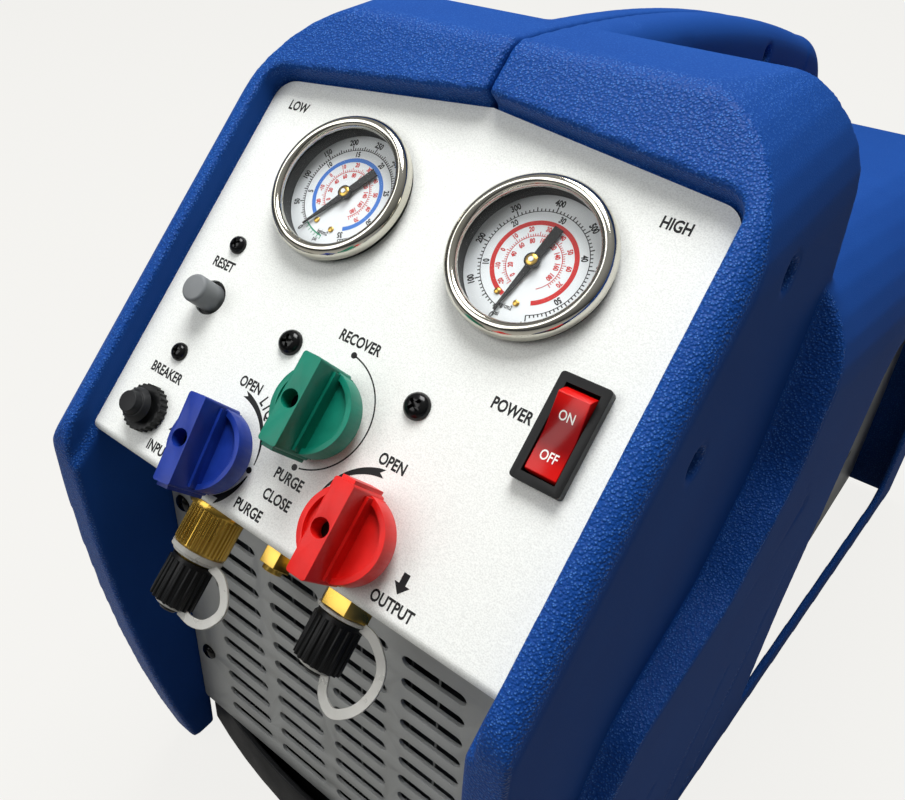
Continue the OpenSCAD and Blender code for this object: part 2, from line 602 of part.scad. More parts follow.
// Pressure gauge: flanged cup, printed dial on its pivot pin, pointer, lens and polished bezel.
module gauge_case() {
  difference() {
    translate([0, 0, -26]) cylinder(r = case_bore + case_wall, h = 26 + lens_w);
    translate([0, 0, dial_w - 0.8]) cylinder(r = case_bore, h = 30);
  }
  ring(bezel_r - 0.8, case_bore + 0.5, 0, 2);
  translate([0, 0, -38]) cylinder(r = 5, h = 13);
}
module gauge_dial() translate([0, 0, dial_w - 0.8]) {
  cylinder(r = case_bore - 0.2, h = 0.8);
  cylinder(r = 0.8, h = 4);
}
module gauge_needle() translate([0, 0, dial_w + 0.8]) difference() {
  union() {
    cylinder(r = 2.4, h = 1.6);
    linear_extrude(0.6) polygon([[-1.6, -12.5], [1.6, -12.5], [1.2, 0], [0.25, needle_length], [-0.25, needle_length], [-1.2, 0]]);
  }
  translate([0, 0, -1]) cylinder(r = 0.8 + run, h = 5);
}
module gauge_lens() translate([0, 0, lens_w]) cylinder(r = case_bore + 0.5, h = 1.4);
module gauge_bezel() difference() {
  union() {
    translate([0, 0, 2]) cylinder(r = bezel_r, h = bezel_h - 3.5);
    translate([0, 0, bezel_h - 1.5]) cylinder(r1 = bezel_r, r2 = bezel_r - 2, h = 1.5);
  }
  translate([0, 0, -1]) cylinder(r = case_bore - 0.8, h = 20);
  translate([0, 0, 0]) cylinder(r = case_bore + case_wall + 0.1, h = lens_w + 1.4);
  translate([0, 0, bezel_h - 1.6]) cylinder(r1 = case_bore - 0.8, r2 = case_bore + 0.8, h = 1.7);
}
module low_case() color("dimgray") on_panel(-gauge_u, gauge_v) gauge_case();
module low_dial() color("white") on_panel(-gauge_u, gauge_v) gauge_dial();
module low_needle() color("black") on_panel(-gauge_u, gauge_v) rotate([0, 0, low_needle_angle]) gauge_needle();
module low_lens() color("lightcyan", 0.4) on_panel(-gauge_u, gauge_v) gauge_lens();
module low_bezel() color("lightgray") on_panel(-gauge_u, gauge_v) gauge_bezel();
module high_case() color("dimgray") on_panel(gauge_u, gauge_v) gauge_case();
module high_dial() color("white") on_panel(gauge_u, gauge_v) gauge_dial();
module high_needle() color("black") on_panel(gauge_u, gauge_v) rotate([0, 0, high_needle_angle]) gauge_needle();
module high_lens() color("lightcyan", 0.4) on_panel(gauge_u, gauge_v) gauge_lens();
module high_bezel() color("lightgray") on_panel(gauge_u, gauge_v) gauge_bezel();

// Power switch: snap-in frame and a rocker on trunnions, its ends round about the pivot.
rocker_r = switch_l / 2 - 3.2;
module switch_frame() color("black") on_panel(switch_u, switch_v) difference() {
  union() {
    linear_extrude(frame_h) polygon(rounded([[-switch_w / 2, -switch_l / 2, 1.2], [switch_w / 2, -switch_l / 2, 1.2],
      [switch_w / 2, switch_l / 2, 1.2], [-switch_w / 2, switch_l / 2, 1.2]], 4));
    translate([-6.4, -14.4, -22]) cube([12.8, 28.8, 23]);
  }
  translate([-5.3, -13.8, -18]) cube([10.6, 27.6, 40]);
  translate([0, 0, pivot_w]) pin_x(1.2 + run, -6, 6);
}
module switch_rocker() color("red") on_panel(switch_u, switch_v, pivot_w) {
  rotate([rocker_swing, 0, 0]) intersection() {
    pin_x(rocker_r, -5, 5);
    side_plate(-5, 5, [[-20, -6], [20, -6], [20, 4.5 + 20 * tan(rocker_swing)], [0, 4.5],
      [-20, 4.5 + 20 * tan(rocker_swing)]]);
  }
  pin_x(1.2, -5.9, 5.9);
}

module reset_body() color("gray") on_panel(-left_u, reset_v) {
  ring(reset_r + 1.2, reset_r + run, -18, -sheet);
  translate([0, 0, -20]) cylinder(r = reset_r + 1.2, h = 3);
  difference() {
    translate([-7, -28, -sheet - 2]) cube([14, 56, 2]);
    translate([0, 0, -10]) cylinder(r = reset_r + 1, h = 20);
    for (s = [-1, 1]) translate([0, s * 21.9 - 0.5, -10]) cylinder(r = 3.4 * 0.45 + 0.05, h = 20);
  }
}
module reset_button() color("lightgray") on_panel(-left_u, reset_v, -8) cylinder(r = reset_r, h = 18.5);
module breaker_body() color("black") on_panel(-left_u, breaker_v) {
  ring(5, 3 + run, -8, 3.4);
  translate([-8, -8, -34]) cube([16, 16, 27]);
  translate([0, 0, -8]) ring(7.5, 3 + run, 4, 8 - sheet);
}
module breaker_nut() color("black") on_panel(-left_u, breaker_v) difference() {
  union() {
    cylinder(r = breaker_r - 0.5, h = 4);
    for (i = [0:23]) rotate([0, 0, i * 15]) translate([breaker_r - 0.6, 0, 0]) cylinder(r = 0.6, h = 4);
  }
  translate([0, 0, -1]) cylinder(r = 5.1, h = 10);
}
module breaker_boot() color("black") on_panel(-left_u, breaker_v) {
  translate([0, 0, -4]) cylinder(r = 3, h = 10);
  translate([0, 0, 6.6]) cylinder(r1 = 6.4, r2 = 5, h = 2.4);
  translate([0, 0, 5]) cylinder(r = 3, h = 3);
  translate([0, 0, 8.9]) cylinder(r1 = 4.4, r2 = 3.8, h = 3);
}

// Ports: the shanks seat on the valve block and pass through the panel's flange.
module port_shank(r) down_slope(r, sheet + 4, -2);
module input_port() color("goldenrod") on_panel(-valve_u, 0, port_w) {
  port_shank(shank_r);
  down_slope(coupler_r + 1.4, -0.2, -2.6);
  down_slope(coupler_r - 0.6, -2.5, coupler_v);
  for (i = [0:35]) rotate([0, i * 10, 0]) translate([coupler_r - 0.6, 0, 0]) down_slope(0.6, -2.5, coupler_v + 0.8, 16);
  down_slope(nose_r, coupler_v + 1, cap_end_v + 3);
}
module purge_port() color("goldenrod") on_panel(0, 0, port_w) {
  port_shank(4);
  down_slope(6.1, -0.2, -7, 6);
  down_slope(3.6, -6.9, -9);
}
module output_port() color("goldenrod") on_panel(valve_u, 0, port_w) {
  port_shank(shank_r);
  down_slope(9.2, -0.2, -6, 6);
  down_slope(nose_r, -5.9, -8 - cap_length + 4);
}
module input_washer() color("white") on_panel(-valve_u, 0, port_w) difference() {
  down_slope(coupler_r - 0.2, coupler_v, coupler_v - 1.8);
  down_slope(nose_r + 0.1, 0, -far);
}
module cap(v0) difference() {
  union() {
    down_slope(cap_r - 0.7, v0, v0 - cap_length);
    for (i = [0:17]) rotate([0, i * 20, 0]) translate([0, 0, cap_r - 0.7]) down_slope(0.7, v0 - 1.5, v0 - cap_length, 24);
  }
  down_slope(nose_r + run, v0 + 1, v0 - cap_length + 2.6);
}
module input_cap() color("black") on_panel(-valve_u, 0, port_w) cap(cap_end_v + cap_length);
module output_cap() color("black") on_panel(valve_u, 0, port_w) cap(-8);
// Flat strap: a washer round the port's nose and a loop that comes back under the cap's end.
module strap(v0) difference() {
  union() {
    down_slope(cap_r + 1.6, v0, v0 - strap_t);
    translate([cap_r + 4, v0 - loop_r, 0]) rotate([0, 0, -90]) translate([0, 0, -2]) rotate_extrude(angle = 180)
      translate([loop_r - strap_t, 0]) square([strap_t, 4]);
    translate([0, v0 - strap_t, -2]) cube([cap_r + 4.2, strap_t, 4]);
    translate([-3, v0 - 2 * loop_r, -2]) cube([cap_r + 7.2, strap_t, 4]);
  }
  translate([0, v0 - loop_r, 0]) down_slope(nose_r + 0.15, far, 0);
}
module input_strap() color("white") on_panel(-valve_u, 0, port_w) strap(coupler_v - 1.9);
module output_strap() color("white") on_panel(valve_u, 0, port_w) strap(-6.3);

module pan_screw(r, h, length) {
  cylinder(r = r, h = h * 0.5);
  translate([0, 0, h * 0.5]) cylinder(r1 = r, r2 = r * 0.72, h = h * 0.5);
  translate([0, 0, -length]) cylinder(r = r * 0.45, h = length + 0.5);
}
module panel_screws() color("black") on_panel() for (s = [-1, 1]) translate([s * 26.5, 60.5, 0]) pan_screw(4.5, 3, 10);
module bracket_screws() color("black") on_panel() for (s = [-1, 1])
  translate([-left_u, 61.5 + s * 21.9, 0]) pan_screw(3.4, 2.6, 6);

left_shell();
right_shell();
control_panel();
front_grille();
base_tray();
rubber_feet();
rear_cover();
power_inlet();
condenser_coil();
fan_shroud();
fan_motor();
fan_blades();
fan_bracket();
compressor_block();
cylinder_heads();
compressor_motor();
motor_cradle();
valve_manifold();
suction_tube();
discharge_tube();
input_stem();
mode_stem();
output_stem();
input_knob();
mode_knob();
output_knob();
input_knob_screw();
mode_knob_screw();
output_knob_screw();
low_case();
low_dial();
low_needle();
low_lens();
low_bezel();
high_case();
high_dial();
high_needle();
high_lens();
high_bezel();
switch_frame();
switch_rocker();
reset_body();
reset_button();
breaker_body();
breaker_nut();
breaker_boot();
input_port();
purge_port();
output_port();
input_washer();
input_cap();
output_cap();
input_strap();
output_strap();
panel_screws();
bracket_screws();
grille_screws();
shell_screws();
handle_screws();
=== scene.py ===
import json
import math

import bmesh
import bpy
from mathutils import Matrix, Vector


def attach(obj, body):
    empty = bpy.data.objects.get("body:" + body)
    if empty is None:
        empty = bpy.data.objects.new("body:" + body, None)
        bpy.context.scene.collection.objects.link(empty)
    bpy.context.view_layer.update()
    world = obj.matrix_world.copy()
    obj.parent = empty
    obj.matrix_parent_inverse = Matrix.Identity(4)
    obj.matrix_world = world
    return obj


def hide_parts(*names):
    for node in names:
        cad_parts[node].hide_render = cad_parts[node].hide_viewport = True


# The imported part: its nodes by name, its joints, and the body that each node rides on.
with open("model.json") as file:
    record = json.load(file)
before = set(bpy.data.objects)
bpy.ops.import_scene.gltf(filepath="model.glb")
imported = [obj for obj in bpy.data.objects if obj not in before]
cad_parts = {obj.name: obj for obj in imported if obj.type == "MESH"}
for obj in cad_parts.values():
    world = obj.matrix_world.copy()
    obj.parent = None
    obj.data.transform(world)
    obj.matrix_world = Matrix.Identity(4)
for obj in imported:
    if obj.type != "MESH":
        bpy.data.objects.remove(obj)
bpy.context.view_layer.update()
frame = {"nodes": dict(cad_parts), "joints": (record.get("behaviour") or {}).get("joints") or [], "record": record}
nodes = frame["nodes"]
joints = {joint["name"]: joint for joint in frame["joints"]}
bodies = frame["record"]["behaviour"]["bodies"]
body_of = {node: body for body, members in bodies.items() for node in members}
MM = 0.001


# Base tray: folded sheet steel in a rough black coat, standing on four moulded rubber feet.
# Everything else is built up from it.
SHARP_EDGE = math.radians(30)
FLAT = math.radians(0.6)
WELD = 0.002 * MM


def linear(hex_colour):
    """sRGB hex to a linear RGBA colour."""
    channels = [int(hex_colour[i : i + 2], 16) / 255 for i in (1, 3, 5)]
    return tuple(c / 12.92 if c <= 0.04045 else ((c + 0.055) / 1.055) ** 2.4 for c in channels) + (1.0,)


def add_node(tree, kind, sockets=None, **settings):
    """Adds a shader node. Sockets take a value, or another node's output to link; settings are its properties."""
    node = tree.nodes.new(kind)
    for name, value in settings.items():
        setattr(node, name, value)
    for name, value in (sockets or {}).items():
        if isinstance(value, bpy.types.NodeSocket):
            tree.links.new(value, node.inputs[name])
        else:
            node.inputs[name].default_value = value
    return node


def new_material(name, roughness, metallic=0.0):
    """A material with its Principled shader at plain values; returns it, its node tree and the shader."""
    material = bpy.data.materials.new(name)
    material.use_nodes = True
    shader = material.node_tree.nodes["Principled BSDF"]
    shader.inputs["Roughness"].default_value = roughness
    shader.inputs["Metallic"].default_value = metallic
    if not metallic:
        shader.inputs["Specular IOR Level"].default_value = 0.25
    return material, material.node_tree, shader


def mixed_tone(tree, share, tone, other):
    """Colour socket that goes from one tone to another by a share; a tone is sRGB hex or a colour socket."""
    tones = {key: linear(t) if isinstance(t, str) else t for key, t in ((6, tone), (7, other))}
    return add_node(tree, "ShaderNodeMix", {0: share, **tones}, data_type="RGBA").outputs[2]


def smooth_step(tree, value, start, end):
    """Share that goes softly from 0 to 1 while a value goes from start to end."""
    limits = {"Value": value, "From Min": start, "From Max": end}
    return add_node(tree, "ShaderNodeMapRange", limits, interpolation_type="SMOOTHSTEP").outputs[0]


def vector_math(tree, operation, a, b):
    """Result of a vector operation on two vectors or sockets."""
    outputs = add_node(tree, "ShaderNodeVectorMath", {0: a, 1: b}, operation=operation).outputs
    return outputs["Value" if operation == "DOT_PRODUCT" else "Vector"]


def math_node(tree, operation, a, b=0.0):
    """Result of an operation on two values or sockets."""
    return add_node(tree, "ShaderNodeMath", {0: a, 1: b}, operation=operation).outputs[0]


def grained(name, tones, roughness, metallic=0.0, size=0.8, depth=0.05, drift=20, stretch=(1, 1, 1)):
    """A material with a fine relief, its size and depth in millimetres, and a slow drift of tone and gloss."""
    material, tree, shader = new_material(name, roughness, metallic)
    position = add_node(tree, "ShaderNodeTexCoord").outputs["Object"]
    drawn = vector_math(tree, "MULTIPLY", position, stretch)
    fine = add_node(tree, "ShaderNodeTexNoise", {"Vector": drawn, "Scale": 1 / (size * MM), "Detail": 2.0})
    height = {"Height": fine.outputs["Fac"], "Strength": 0.6, "Distance": depth * MM}
    relief = add_node(tree, "ShaderNodeBump", height)
    tree.links.new(relief.outputs["Normal"], shader.inputs["Normal"])
    slow = add_node(tree, "ShaderNodeTexNoise", {"Vector": drawn, "Scale": 1 / (drift * MM), "Detail": 3.0})
    spread = add_node(tree, "ShaderNodeMapRange", {"Value": slow.outputs["Fac"], "From Min": 0.3, "From Max": 0.7})
    tone = mixed_tone(tree, spread.outputs[0], *tones)
    tree.links.new(tone, shader.inputs["Base Color"])
    duller = {"Value": spread.outputs[0], "To Min": 0.85 * roughness, "To Max": 1.2 * roughness}
    gloss = add_node(tree, "ShaderNodeMapRange", duller)
    tree.links.new(gloss.outputs[0], shader.inputs["Roughness"])
    return material, tree, shader


def place(mesh, name, material, body="housing", stands_for=()):
    """Adds a mesh in the object's frame, finished, riding on a body and standing for CAD nodes."""
    piece = bpy.data.objects.new(name, mesh)
    bpy.context.scene.collection.objects.link(piece)
    mesh.materials.clear()
    mesh.materials.append(material)
    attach(piece, body)
    if stands_for:
        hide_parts(*stands_for)
    return piece


def dress(node_name, material):
    """Gives a CAD node its finish."""
    mesh = nodes[node_name].data
    mesh.materials.clear()
    mesh.materials.append(material)


def ease_edges(piece, edge, rounds=3):
    """Eases a piece's sharp edges by a small radius in millimetres."""
    edges = piece.modifiers.new("eased", "BEVEL")
    edges.width = edge * MM
    edges.segments = rounds
    edges.limit_method = "ANGLE"
    edges.angle_limit = SHARP_EDGE
    edges.harden_normals = True


def eased(node_name, material, edge, rounds=3):
    """Copy of a CAD node with eased edges; it stands for the node."""
    mesh = nodes[node_name].data.copy()
    shape = bmesh.new()
    shape.from_mesh(mesh)
    bmesh.ops.remove_doubles(shape, verts=shape.verts, dist=WELD)
    bmesh.ops.dissolve_limit(shape, angle_limit=FLAT, verts=shape.verts, edges=shape.edges)
    shape.to_mesh(mesh)
    shape.free()
    mesh.shade_smooth()
    piece = place(mesh, node_name + "_eased", material, body_of[node_name], (node_name,))
    ease_edges(piece, edge, rounds)


tray_coat = grained("rough_black_coat", ("#101113", "#1B1C1E"), 0.5, size=0.9, depth=0.15)[0]
foot_rubber = grained("moulded_black_rubber", ("#151617", "#212223"), 0.72, size=0.6, depth=0.1)[0]
eased("base_tray", tray_coat, 0.8)
eased("rubber_feet", foot_rubber, 1.0)


# Compressor: cast twin-cylinder block and heads, with its drive motor on a pressed steel cradle.
# The copper tubes carry the gas in from the manifold and out to the coil.
die_cast = grained("die_cast_aluminium", ("#6E7174", "#8B8E91"), 0.5, 1.0, size=1.0, depth=0.2)[0]
drawn_steel = grained("drawn_steel", ("#989CA0", "#B3B7BA"), 0.32, 1.0, size=0.4, depth=0.03, stretch=(1, 0.1, 1))[0]
copper = grained("drawn_copper", ("#A35F35", "#BC7847"), 0.3, 1.0, size=0.5, depth=0.02)[0]
for name in ("compressor_block", "cylinder_heads"):
    dress(name, die_cast)
for name in ("compressor_motor", "motor_cradle", "fan_motor", "fan_bracket"):
    dress(name, drawn_steel)
for name in ("suction_tube", "discharge_tube"):
    dress(name, copper)


# Condenser: thin corrugated aluminium fins pressed on the tubes, right behind the grille.
# The fan draws air through them, in a moulded black shroud.
COIL_HALF = 77.5
COIL_FRONT, COIL_BACK = -172.5, -140.0
COIL_FOOT, COIL_TOP = 43.0, 187.0
FIN_PITCH = 1.55
FIN_WAVES = 6
FIN_SWAY = 0.45
fin_metal = grained("mill_aluminium", ("#8C9092", "#B9BCBE"), 0.34, 1.0, size=0.5, depth=0.03)[0]
black_abs = grained("satin_black_abs", ("#090A0B", "#121314"), 0.4, size=0.5, depth=0.05)[0]
fins = bmesh.new()
for i in range(int(2 * COIL_HALF / FIN_PITCH) + 1):
    rows = []
    for wave in range(FIN_WAVES + 1):
        x = -COIL_HALF + i * FIN_PITCH + (FIN_SWAY if wave % 2 else -FIN_SWAY)
        y = COIL_FRONT + (COIL_BACK - COIL_FRONT) * wave / FIN_WAVES
        rows.append([fins.verts.new(Vector((x, y, z)) * MM) for z in (COIL_FOOT, COIL_TOP)])
    for (a, b), (c, d) in zip(rows, rows[1:]):
        fins.faces.new((a, b, d, c))


def assemble(shape, name, material, body="housing", stands_for=()):
    """Turns gathered faces into a piece."""
    mesh = bpy.data.meshes.new(name)
    bmesh.ops.recalc_face_normals(shape, faces=shape.faces)
    shape.to_mesh(mesh)
    shape.free()
    return place(mesh, name, material, body, stands_for)


assemble(fins, "condenser_fins", fin_metal)
dress("condenser_coil", fin_metal)
dress("fan_shroud", black_abs)
dress("fan_blades", black_abs)


# Front grille and rear cover: punched sheet steel in a satin grey coat, screwed in between the shell halves.
# The power inlet snaps into the rear cover.
grille_coat = grained("satin_grey_coat", ("#A3A5A4", "#B0B2B1"), 0.36, size=1.1, depth=0.06)[0]
eased("front_grille", grille_coat, 0.35, 2)
dress("rear_cover", grille_coat)
eased("power_inlet", black_abs, 0.5)


# Blue shell: two thick-walled ABS mouldings that meet in a V groove on the centre plane.
# The faces that look forward came out of the mould with a leather grain; the rest is finely spark eroded.
def finished_mesh(piece):
    """The piece's mesh with its modifiers applied."""
    bpy.context.view_layer.update()
    return bpy.data.meshes.new_from_object(piece.evaluated_get(bpy.context.evaluated_depsgraph_get()))


# Pebbled ABS: deep blue, with fine pebbles whose crests are painted paler where the face looks forward, a painted
# glint, and a duller spark-eroded skin elsewhere.
PEBBLE = 0.85 * MM
SPARK_GRAIN = 0.5 * MM
GRAIN_DEPTH = 0.4 * MM
PEBBLED_WAY = (0.0, -0.9, 0.35)
PEBBLED_ROUGHNESS = 0.42
SPARKED_ROUGHNESS = 0.75
blue_abs, tree, shader = new_material("pebbled_blue_abs", PEBBLED_ROUGHNESS)
shader.inputs["IOR"].default_value = 1.3
position = add_node(tree, "ShaderNodeTexCoord").outputs["Object"]
wander = add_node(tree, "ShaderNodeTexNoise", {"Vector": position, "Scale": 1 / (2 * PEBBLE), "Detail": 1.0})
pushed = vector_math(tree, "MULTIPLY", wander.outputs["Color"], (0.5 * PEBBLE,) * 3)
bent = vector_math(tree, "ADD", position, pushed)
cells = {"Vector": bent, "Scale": 1 / PEBBLE, "Smoothness": 0.2}
pebbles = add_node(tree, "ShaderNodeTexVoronoi", cells, feature="SMOOTH_F1").outputs["Distance"]
sparks = add_node(tree, "ShaderNodeTexNoise", {"Vector": position, "Scale": 1 / SPARK_GRAIN, "Detail": 2.0})
normal = add_node(tree, "ShaderNodeNewGeometry").outputs["Normal"]
forward = smooth_step(tree, vector_math(tree, "DOT_PRODUCT", normal, PEBBLED_WAY), 0.12, 0.45)
height = add_node(tree, "ShaderNodeMix", {0: forward, 2: sparks.outputs["Fac"], 3: pebbles}, data_type="FLOAT")
push = add_node(tree, "ShaderNodeMapRange", {"Value": forward, "To Min": 0.2, "To Max": 0.9})
grain = {"Height": height.outputs[0], "Strength": push.outputs[0], "Distance": GRAIN_DEPTH}
relief = add_node(tree, "ShaderNodeBump", grain, invert=True)
tree.links.new(relief.outputs["Normal"], shader.inputs["Normal"])
blotch = add_node(tree, "ShaderNodeTexNoise", {"Vector": position, "Scale": 1 / (60 * MM), "Detail": 3.0})
deep = mixed_tone(tree, blotch.outputs["Fac"], "#113C84", "#184A96")
# Painted glint: pebble crests on forward-facing faces are mixed toward a paler blue, standing in for light caught on
# the crests.
glint_crest = smooth_step(tree, pebbles, 0.42, 0.1)
painted_glint = math_node(tree, "MULTIPLY", glint_crest, forward)
tree.links.new(mixed_tone(tree, painted_glint, deep, "#4072BE"), shader.inputs["Base Color"])
duller = {"Value": forward, "To Min": SPARKED_ROUGHNESS, "To Max": PEBBLED_ROUGHNESS}
gloss = add_node(tree, "ShaderNodeMapRange", duller)
tree.links.new(gloss.outputs[0], shader.inputs["Roughness"])


def band(points, width, thickness, spot, spans=8):
    """Strip along a smooth curve through points of the spot's plane, width in the plane, in millimetres."""
    knots = [Vector(p) for p in points]
    knots = [2 * knots[0] - knots[1]] + knots + [2 * knots[-1] - knots[-2]]
    path = []
    for a, b, c, d in zip(knots, knots[1:], knots[2:], knots[3:]):
        for t in (k / spans for k in range(spans)):
            bend, twist = 2 * a - 5 * b + 4 * c - d, 3 * b - a - 3 * c + d
            path.append(0.5 * (2 * b + (c - a) * t + bend * t**2 + twist * t**3))
    path.append(knots[-2])
    shape = bmesh.new()
    rows = []
    for i, p in enumerate(path):
        along = (path[min(i + 1, len(path) - 1)] - path[max(i - 1, 0)]).normalized()
        out = Vector((along.y, -along.x, 0)) * width / 2
        up = Vector((0, 0, thickness / 2))
        corners = (s * out + t * up + p.to_3d() for s, t in ((-1, -1), (1, -1), (1, 1), (-1, 1)))
        rows.append([shape.verts.new(spot @ (corner * MM)) for corner in corners])
    for low, high in zip(rows, rows[1:]):
        for k in range(4):
            face = shape.faces.new((low[k], low[k - 3], high[k - 3], high[k]))
            face.smooth = True
    shape.faces.new(rows[0])
    shape.faces.new(rows[-1])
    return shape


# Each half is wrapped in a fine skin and softened, so that its edges come out as moulded ones.
# A strip under the rounding of the rear edge backs the wall there.
SKIN = 1.3 * MM
SOFTENING = 6
REAR_ROUND = 22
REAR_ROUND_AT = (208.4, 221.5)
EDGE_WALL = 3.6
EDGE_SPAN = 87
SEAM_GAP = 1
side_plane = Matrix(((0, 0, 1), (1, 0, 0), (0, 1, 0))).to_4x4()
edge_course = [
    Vector(REAR_ROUND_AT) + (REAR_ROUND - 0.6 * EDGE_WALL) * Vector((math.cos(a), math.sin(a)))
    for a in (math.radians(degrees) for degrees in range(8, 86, 11))
]
for half, side in (("left_shell", -1), ("right_shell", 1)):
    backing = Matrix.Translation((side * (EDGE_SPAN / 2 + SEAM_GAP) * MM, 0, 0)) @ side_plane
    whole = band(edge_course, EDGE_WALL, EDGE_SPAN, backing)
    bmesh.ops.recalc_face_normals(whole, faces=whole.faces)
    whole.from_mesh(nodes[half].data)
    backed = bpy.data.meshes.new(half + "_rough")
    whole.to_mesh(backed)
    whole.free()
    rough = bpy.data.objects.new(half + "_rough", backed)
    bpy.context.scene.collection.objects.link(rough)
    skin = rough.modifiers.new("skin", "REMESH")
    skin.mode = "VOXEL"
    skin.voxel_size = SKIN
    soft = rough.modifiers.new("soft", "SMOOTH")
    soft.iterations = SOFTENING
    moulding = finished_mesh(rough)
    bpy.data.objects.remove(rough)
    moulding.shade_smooth()
    place(moulding, half + "_moulding", blue_abs, stands_for=(half,))


# Control panel: sheet steel with a finely speckled pale coat, folded back at its lower edge.
# The legends are screen printed in black on the coat.
face_out = Vector(joints["mode_valve_turn"]["axis"]).normalized()
up_slope = Vector((0, face_out.z, -face_out.y))
MODE_VALVE_V = 44.4
panel_edge = Vector(joints["mode_valve_turn"]["pos_m"]) - up_slope * MODE_VALVE_V * MM
panel_turn = Matrix((Vector((1, 0, 0)), up_slope, face_out)).transposed().to_4x4()
panel_frame = Matrix.Translation(panel_edge) @ panel_turn


def on_panel(u, v, w=0.0):
    """Frame at a point of the panel, in millimetres, z out of its face."""
    return panel_frame @ Matrix.Translation((u * MM, v * MM, w * MM))


# Speckled coat: pale grey with a fine glitter of lighter and darker specks.
SPECKLE = 0.45 * MM
panel_coat, tree, shader = new_material("speckled_powder_coat", 0.38)
position = add_node(tree, "ShaderNodeTexCoord").outputs["Object"]
speckle = add_node(tree, "ShaderNodeTexNoise", {"Vector": position, "Scale": 1 / SPECKLE, "Detail": 1.0})
tone = add_node(tree, "ShaderNodeValToRGB", {"Fac": speckle.outputs["Fac"]})
tone.color_ramp.elements[0].position = 0.3
tone.color_ramp.elements[0].color = linear("#DCDEDA")
tone.color_ramp.elements[1].position = 0.62
tone.color_ramp.elements[1].color = linear("#EEF0EC")
tree.links.new(tone.outputs["Color"], shader.inputs["Base Color"])
ripple = {"Height": speckle.outputs["Fac"], "Strength": 0.15, "Distance": 0.2 * MM}
relief = add_node(tree, "ShaderNodeBump", ripple)
tree.links.new(relief.outputs["Normal"], shader.inputs["Normal"])
dress("control_panel", panel_coat)


CAPS_PER_EM = 1.4


def add_word(sheet, spot, text, height, turn=0.0, squeeze=0.74, weight=0.03):
    """Adds a printed word to a sheet of ink, centred on a spot's frame and turned about its z axis."""
    curve = bpy.data.curves.new("word", "FONT")
    curve.body = text
    curve.align_x, curve.align_y = "CENTER", "CENTER"
    curve.offset = weight
    curve.resolution_u = 3
    holder = bpy.data.objects.new("word", curve)
    bpy.context.scene.collection.objects.link(holder)
    letters = finished_mesh(holder)
    bpy.data.objects.remove(holder)
    size = height * CAPS_PER_EM
    shaped = Matrix.Rotation(math.radians(turn), 4, "Z") @ Matrix.Diagonal((squeeze * size, size, 1, 1))
    letters.transform(spot @ shaped)
    sheet.from_mesh(letters)


def round_about(radius, degrees):
    """Point at a radius and an angle anticlockwise from up."""
    return -radius * math.sin(math.radians(degrees)), radius * math.cos(math.radians(degrees))


def add_outline(sheet, spot, points):
    """Adds a flat filled outline, points in millimetres."""
    sheet.faces.new([sheet.verts.new(spot @ Vector((x * MM, y * MM, 0))) for x, y in points])


def add_arc(sheet, spot, radius, start, end, width, width_end=None, steps=48):
    """Adds a printed arc about the spot, its angles anticlockwise from up, its width in millimetres at each end."""
    width_end = width if width_end is None else width_end
    for i in range(steps):
        corners = []
        for k, sides in ((i, (-1, 1)), (i + 1, (1, -1))):
            half = (width + (width_end - width) * k / steps) / 2
            corners += [round_about(radius + side * half, start + (end - start) * k / steps) for side in sides]
        add_outline(sheet, spot, corners)


INK_W = 0.05
LEGEND = 3.7 * MM
SWEEP_R = 19.9
LIQUID_R = 23.3
INPUT_SWEEP = (-36.0, 18.5)
OUTPUT_SWEEP = (30, 18)
MODE_SWEEP = (-5, 45.8)
MODE_SWEEP_R = 20.4
DOT_R = 1.1
black_ink = grained("black_screen_ink", ("#131314", "#1B1B1C"), 0.5, size=0.3, depth=0.01)[0]
legends = bmesh.new()
for text, u, v in (
    ("LOW", -74.5, 139.4), ("HIGH", 71.7, 138.5), ("RESET", -69.6, 74.8), ("BREAKER", -68.6, 30.7),
    ("INPUT", -55.1, 6.1), ("OPEN", -32.7, 41.5), ("PURGE", -9.9, 6), ("CLOSE", -2.1, 13.6),
    ("RECOVER", -2.4, 70.4), ("PURGE", -1.7, 21.1), ("OPEN", 28.2, 41.5), ("OUTPUT", 49.2, 5.8),
    ("POWER", 53.9, 71.6),
):
    add_word(legends, on_panel(u, v, INK_W), text, LEGEND)
for letter, degrees in zip("LIQUID", (-29, -35, -42, -51, -58, -64)):
    x, y = round_about(LIQUID_R, degrees)
    add_word(legends, on_panel(INPUT_SWEEP[0] + x, INPUT_SWEEP[1] + y, INK_W), letter, LEGEND, degrees)
# Flow arrows beside the two ports, the mode valve's thin sweep, and the swallow-tailed sweeps of the other two.
arrow = ((-1.1, -3.2), (1.1, -3.2), (1.1, 0.2), (2.7, 0.2), (0, 3.4), (-2.7, 0.2), (-1.1, 0.2))
for u, v, way in ((-52.5, 13.9, 1), (49, 13, -1)):
    add_outline(legends, on_panel(u, v, INK_W), [(x, way * y) for x, y in arrow])
add_arc(legends, on_panel(*MODE_SWEEP, INK_W), MODE_SWEEP_R, -8, -167, 0.5)
for u, v in ((-2.2, 66), (-2, 25.5), (-16.9, 17)):
    add_arc(legends, on_panel(u, v, INK_W), DOT_R / 2, 0, 360, DOT_R, steps=20)
for centre, start, end, tail, width in (
    (INPUT_SWEEP, -88, -13, 5, 2.2),
    (INPUT_SWEEP, -100, -138, -6, 2.7),
    (OUTPUT_SWEEP, 75, 12, -5, 2.7),
):
    spot = on_panel(*centre, INK_W)
    add_arc(legends, spot, SWEEP_R, start, end, 0.4, width)
    for barb in (SWEEP_R - width / 2, SWEEP_R + width / 2):
        tip = (round_about(SWEEP_R, end), round_about(barb, end), round_about(barb, end + tail))
        add_outline(legends, spot, tip)
assemble(legends, "panel_legends", black_ink)


